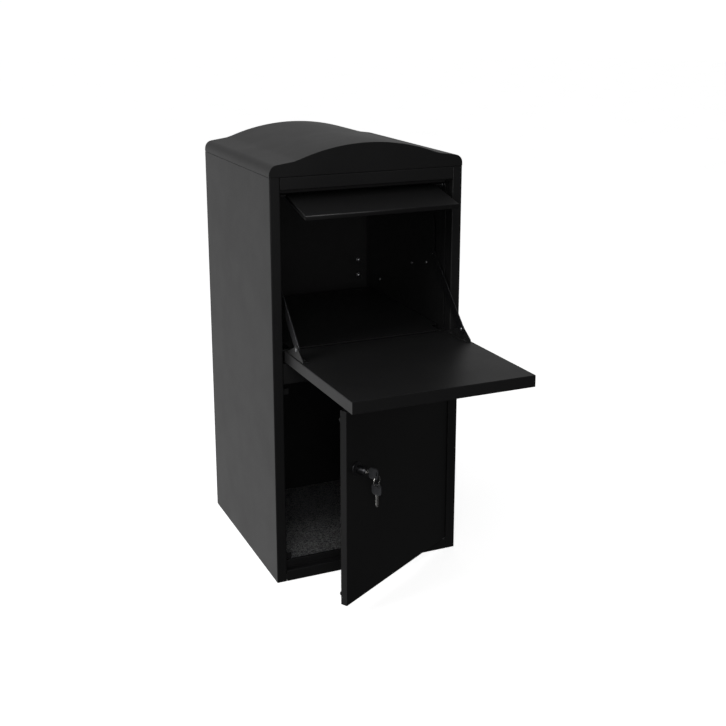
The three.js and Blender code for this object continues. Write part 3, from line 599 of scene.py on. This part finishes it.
def add_rod(name, node, slot, body):
    """A round bar along X, with small chamfers on its ends."""
    low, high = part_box(node)
    radius = (high.z - low.z) / 2 / MM
    length = (high.x - low.x) / MM
    start = middle(node)
    start.x = low.x
    profile = [
        (0, 0), (radius - ROD_CHAMFER, 0), (radius, ROD_CHAMFER),
        (radius, length - ROD_CHAMFER), (radius - ROD_CHAMFER, length), (0, length),
    ]
    build = bmesh.new()
    lathe(build, profile, place_facing(start, (1, 0, 0)), ROD_STEPS)
    add_piece(name, build, slot, body, (node,))


def add_rods():
    add_rod("visor_rod_turned", "visor_rod", "black_powder_coat", "visor")
    add_rod("tray_rod_turned", "tray_pivot_rod", "black_powder_coat", "cabinet")
    add_rod("flap_pin_turned", "flap_hinge_pin", "zinc_plated_steel", "cabinet")


# ---------------------------------------------------------------- lock and buffers
# OUT points out of the door's face, and ALONG runs level across it.
OUT = Vector(JOINTS["lock_turn"]["axis"])
ALONG = Vector((-OUT.y, OUT.x, 0))
LOCK_PLACE = Vector(JOINTS["lock_turn"]["pos_m"])
LOCK_STEPS = 64
# Outline (radius, height) of the lock's barrel and flange, from its nose to its back end.
LOCK_BODY = [
    (6.5, 32.7), (7.0, 33), (8.6, 33), (9.5, 32.8), (10, 32.1), (10, 28.2), (9.6, 27.9), (9.6, 27.3),
    (10, 27.0), (10, 8.0), (10.6, 7.4), (13.4, 7.0), (15.6, 6.5), (16.7, 5.7), (17, 4.9), (17, 4.3),
    (9, 4.3), (9, -25), (6.5, -25),
]
BUFFER = [(0, -3), (5, -3), (5, 1.2), (4.6, 2.2), (3.8, 2.8), (2.4, 3.0), (0, 3.0)]
BUFFER_STEPS = 32
BUFFER_SOFT = 0.2


def add_lock_body():
    build = bmesh.new()
    lathe(build, LOCK_BODY, place_facing(LOCK_PLACE, OUT), LOCK_STEPS, closed=True)
    add_piece("lock_housing", build, "dark_nickel", "door", ("lock_body",))


def add_buffers():
    for level in ("lower", "upper"):
        node = f"door_buffer_{level}"
        build = bmesh.new()
        lathe(build, BUFFER, place_facing(middle(node), -OUT), BUFFER_STEPS)
        add_piece(f"buffer_{level}", build, "buffer_rubber", "door", (node,), BUFFER_SOFT)


# ---------------------------------------------------------------- keys
# A key's own frame starts at its ring slot: X across its thickness, Y down its blade, Z up its width.
BOW_SIZE = 24.5
BOW_REST = 3.9
BOW_ROUND = 7
BOW_THICK = 3.4
BOW_RIM = 1.3
BOW_SUNK = 0.45
BOW_SOFT = 0.3
SLOT_LENGTH = 11.5
SLOT_WIDTH = 3
SLOT_ROUND = 1.45
CORNER_STEPS = 8
# Turns a plate's frame so that its thickness lies along the key's X axis.
PLATE_TO_KEY = Matrix(((0, 0, 1, 0), (1, 0, 0, 0), (0, 1, 0, 0), (0, 0, 0, 1)))


def rounded(u0, u1, v0, v1, radius):
    """A rectangle with round corners."""
    points = []
    for u, v, start in ((u1 - radius, v1 - radius, 0), (u0 + radius, v1 - radius, 90),
                        (u0 + radius, v0 + radius, 180), (u1 - radius, v0 + radius, 270)):
        for i in range(CORNER_STEPS + 1):
            turn = math.radians(start + 90 * i / CORNER_STEPS)
            points.append((u + radius * math.cos(turn), v + radius * math.sin(turn)))
    return points


def add_bow(name, node, key, body):
    """The key's plastic head, with a sunk panel on each face and a slot for the ring."""
    outer = rounded(-BOW_REST, BOW_SIZE - BOW_REST, -BOW_SIZE / 2, BOW_SIZE / 2, BOW_ROUND)
    slot = rounded(-SLOT_WIDTH / 2, SLOT_WIDTH / 2, -SLOT_LENGTH / 2, SLOT_LENGTH / 2, SLOT_ROUND)
    build = bmesh.new()
    plate(build, [outer, slot], -BOW_THICK / 2, BOW_THICK / 2, key @ PLATE_TO_KEY, (BOW_RIM, BOW_SUNK))
    add_piece(name, build, "key_plastic", body, (node,), BOW_SOFT)


BLADE_GAP = 0.3
BLADE_START = BOW_SIZE - BOW_REST + BLADE_GAP
BLADE_LENGTH = 27
BLADE_HALF = 4.0
# Half the blade's thickness in its grooves, as a share of that beside them.
BLADE_GROOVE = 0.55
TIP_LENGTH = 1.6
# The depth of each cut along the blade's upper edge, and how the cuts are spaced.
BITTING = (0.9, 1.9, 0.5, 1.4, 0.0)
BITTING_START = 5.0
BITTING_PITCH = 3.6
BITTING_SLOPE = 1.0


def blade_section(y, top, thick=1.0, bottom=-BLADE_HALF):
    """The blade's section at one station: small chamfers, and a milled groove down each side."""
    t, g = thick, thick * BLADE_GROOVE
    points = [
        (-t + 0.2, bottom), (t - 0.2, bottom), (t, bottom + 0.3), (t, -1.9), (g, -1.5), (g, -0.7),
        (t, -0.3), (t, top - 0.3), (t - 0.2, top), (-t + 0.2, top), (-t, top - 0.3), (-t, 1.3),
        (-g, 0.9), (-g, 0.2), (-t, -0.2), (-t, bottom + 0.3),
    ]
    return [Vector((x, y, z)) * MM for x, z in points]


def add_blade(name, node, key, body):
    first_cut = BLADE_START + BITTING_START
    end = BLADE_START + BLADE_LENGTH
    sections = [blade_section(BLADE_START, BLADE_HALF), blade_section(first_cut, BLADE_HALF)]
    for i, depth in enumerate(BITTING):
        y = first_cut + BITTING_SLOPE + i * BITTING_PITCH
        sections.append(blade_section(y, BLADE_HALF - depth))
        sections.append(blade_section(y + BITTING_PITCH - 2 * BITTING_SLOPE, BLADE_HALF - depth))
    sections.append(blade_section(end - TIP_LENGTH, top=2.4, thick=0.9, bottom=-3.4))
    sections.append(blade_section(end, top=1.7, thick=0.5, bottom=-2.2))
    build = bmesh.new()
    loft(build, [[key @ point for point in section] for section in sections])
    add_piece(name, build, "bright_nickel", body, (node,))


RING_RADIUS = 11.5
RING_WIRE = 0.48
RING_PITCH = 0.98
RING_TURNS = 1.88
RING_CROSSING = 0.12
RING_STEPS = 180
WIRE_STEPS = 10


def add_split_ring(centre):
    """Two flat turns of wire, side by side along the lock's axis, joined where the wire crosses over."""
    sections = []
    for i in range(RING_STEPS + 1):
        turns = RING_TURNS * i / RING_STEPS
        angle = 2 * math.pi * turns
        crossed = min(max((turns - 1 + RING_CROSSING) / RING_CROSSING, 0), 1)
        offset = RING_PITCH * (crossed * crossed * (3 - 2 * crossed) - 0.5)
        outward = ALONG * math.cos(angle) + UP * math.sin(angle)
        wire = centre + (outward * RING_RADIUS + OUT * offset) * MM
        sections.append([wire + (outward * u + OUT * v) * MM for u, v in around(RING_WIRE, WIRE_STEPS)])
    build = bmesh.new()
    loft(build, sections)
    add_piece("split_ring_wire", build, "bright_nickel", "key_ring", ("split_ring",))


def add_keys():
    ring = Vector(JOINTS["ring_swing"]["pos_m"])
    spare = Vector(JOINTS["spare_key_swing"]["pos_m"])
    slot = Vector((ring.x, ring.y, LOCK_PLACE.z))
    main_key = Matrix.Translation(slot) @ Matrix((ALONG, -OUT, UP)).transposed().to_4x4()
    spare_key = Matrix.Translation(spare) @ Matrix((ALONG, -UP, -OUT)).transposed().to_4x4()
    add_bow("key_head", "key_bow", main_key, "key")
    add_blade("key_shank", "key_blade", main_key, "key")
    add_bow("spare_key_head", "spare_key_bow", spare_key, "spare_key")
    add_blade("spare_key_shank", "spare_key_blade", spare_key, "spare_key")
    add_split_ring((ring + spare) / 2)


# ---------------------------------------------------------------- floor mat
MAT_CELL = 4.0
MAT_ROUGH = 0.9
# The most that a grid corner strays sideways, as a share of a cell.
MAT_STRAY = 0.3


def add_mat():
    """A pressed-crumb mat: a thin slab with an uneven, pitted top."""
    rough = random.Random(SEED)
    low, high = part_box("floor_mat")
    centre = (low + high) / 2
    size = high - low
    columns = round(size.x / (MAT_CELL * MM))
    rows = round(size.y / (MAT_CELL * MM))
    build = bmesh.new()
    grid = bmesh.ops.create_grid(build, x_segments=columns, y_segments=rows, size=0.5)["verts"]
    for corner in grid:
        on_rim = max(abs(corner.co.x), abs(corner.co.y)) > 0.499
        stray = 0 if on_rim else MAT_CELL * MAT_STRAY * MM
        corner.co.x = centre.x + corner.co.x * size.x + rough.uniform(-stray, stray)
        corner.co.y = centre.y + corner.co.y * size.y + rough.uniform(-stray, stray)
        corner.co.z = high.z - rough.random() * MAT_ROUGH * MM
    skirt = bmesh.ops.extrude_face_region(build, geom=list(build.faces))["geom"]
    for item in skirt:
        if isinstance(item, bmesh.types.BMVert):
            item.co.z = low.z
    add_piece("floor_mat_crumb", build, "granular_mat", "cabinet", ("floor_mat",))


# ---------------------------------------------------------------- stage
FLOOR_RADIUS = 24
BACKDROP_RADIUS = 25
# The dark patch lies one step under the cabinet, and the floor lies two.
FLOOR_STEP = 0.0003
SHADE_HALF = (0.224, 0.234)


def stage_material(name, glow):
    s = Shader(name)
    tone = s.blend(s.spread(s.noise(3), 0, 1), (0.9, 0.9, 0.9), (0.92, 0.92, 0.92))
    s.put(s.surface.inputs["Emission Color"], tone)
    return s.finish(tone, 0.9, Emission_Strength=glow)


def add_stage_piece(name, material, maker, **shape):
    """A piece that the camera sees, and that is otherwise out of the light's way."""
    build = bmesh.new()
    maker(build, **shape)
    mesh = bpy.data.meshes.new(name)
    build.to_mesh(mesh)
    build.free()
    mesh.materials.append(material)
    piece = bpy.data.objects.new(name, mesh)
    bpy.context.scene.collection.objects.link(piece)
    piece.visible_diffuse = False
    piece.visible_glossy = False
    piece.visible_shadow = False
    piece.visible_transmission = False
    return piece


def add_stage():
    """A pale floor under a pale dome, with a dark patch beneath the cabinet."""
    floor = add_stage_piece(
        "floor", stage_material("floor_pale", glow=0.9), bmesh.ops.create_circle,
        cap_ends=True, radius=FLOOR_RADIUS, segments=64)
    floor.location.z = -2 * FLOOR_STEP
    shade = add_stage_piece(
        "shade_underneath", stage_material("shade_dark", glow=0.01), bmesh.ops.create_grid,
        x_segments=1, y_segments=1, size=1)
    shade.scale = (*SHADE_HALF, 1)
    shade.location.z = -FLOOR_STEP
    add_stage_piece(
        "backdrop", stage_material("backdrop_pale", glow=1.06), bmesh.ops.create_uvsphere,
        u_segments=48, v_segments=24, radius=BACKDROP_RADIUS)


# ---------------------------------------------------------------- light
def add_area(name, place, aim, size, power):
    """A square lamp that faces its aim and isn't seen itself."""
    data = bpy.data.lights.new(name, "AREA")
    data.size = size
    data.energy = power
    light = bpy.data.objects.new(name, data)
    light.location = place
    direction = Vector(aim) - Vector(place)
    light.rotation_euler = direction.to_track_quat("-Z", "Y").to_euler()
    light.visible_camera = False
    bpy.context.scene.collection.objects.link(light)


BRIGHT_SIDE = (-0.35, 0.94, 0)
BRIGHT_STARTS = 0.22
BRIGHT_FULL = 0.7
# The surroundings' grey by a direction's height, from -1 straight down to 1 straight up.
FRONT_LEVELS = [(-1, 0.15), (-0.9, 0.08), (-0.7, 0.022), (0.58, 0.079), (0.62, 0.126), (1, 0.25)]
BACK_LEVELS = [(-1, 0.6), (-0.3, 0.52), (0, 0.4), (0.3, 0.27), (1, 0.45)]


def grey_by_height(sky, height, levels):
    """A ramp whose first and last stops are its own ends."""
    node = sky.add("ShaderNodeValToRGB", {"Fac": height})
    stops = node.color_ramp.elements
    for z, _ in levels[1:-1]:
        stops.new((z + 1) / 2)
    for stop, (_, grey) in zip(stops, levels):
        stop.color = (grey, grey, grey, 1)
    return node.outputs["Color"]


def add_world():
    """A studio's surroundings: pale behind and to the left, dark in front and to the right."""
    world = bpy.data.worlds.new("studio")
    bpy.context.scene.world = world
    world.use_nodes = True
    sky = Nodes(world.node_tree, "Generated")
    z = sky.add("ShaderNodeSeparateXYZ", {"Vector": sky.where}).outputs["Z"]
    height = sky.remap(z, -1, 1, 0, 1)
    front = grey_by_height(sky, height, FRONT_LEVELS)
    back = grey_by_height(sky, height, BACK_LEVELS)
    share = sky.remap(sky.dot(sky.where, BRIGHT_SIDE), BRIGHT_STARTS, BRIGHT_FULL, 0, 1, "SMOOTHSTEP")
    sky.put(sky.tree.nodes["Background"].inputs["Color"], sky.blend(share, front, back))


def add_lights():
    add_world()
    add_area("key", place=(-2.8, -0.3, 2.2), aim=(0, 0, 0.6), size=1.6, power=34)
    add_area("fill", place=(-1.1, -2.1, 2.3), aim=(0, -0.2, 0.4), size=0.8, power=7.5)
    add_area("front", place=(-0.9, -2.7, 1.1), aim=(0, 0, 0.5), size=1.0, power=8)


add_camera()
add_stage()
add_lights()
dress_nodes()
add_wall_nuts()
add_liner_screws()
add_back_rivets()
add_bracket_screws()
add_stay_hardware()
add_rods()
add_lock_body()
add_buffers()
add_keys()
add_mat()
bpy.context.scene.view_settings.view_transform = "Standard"
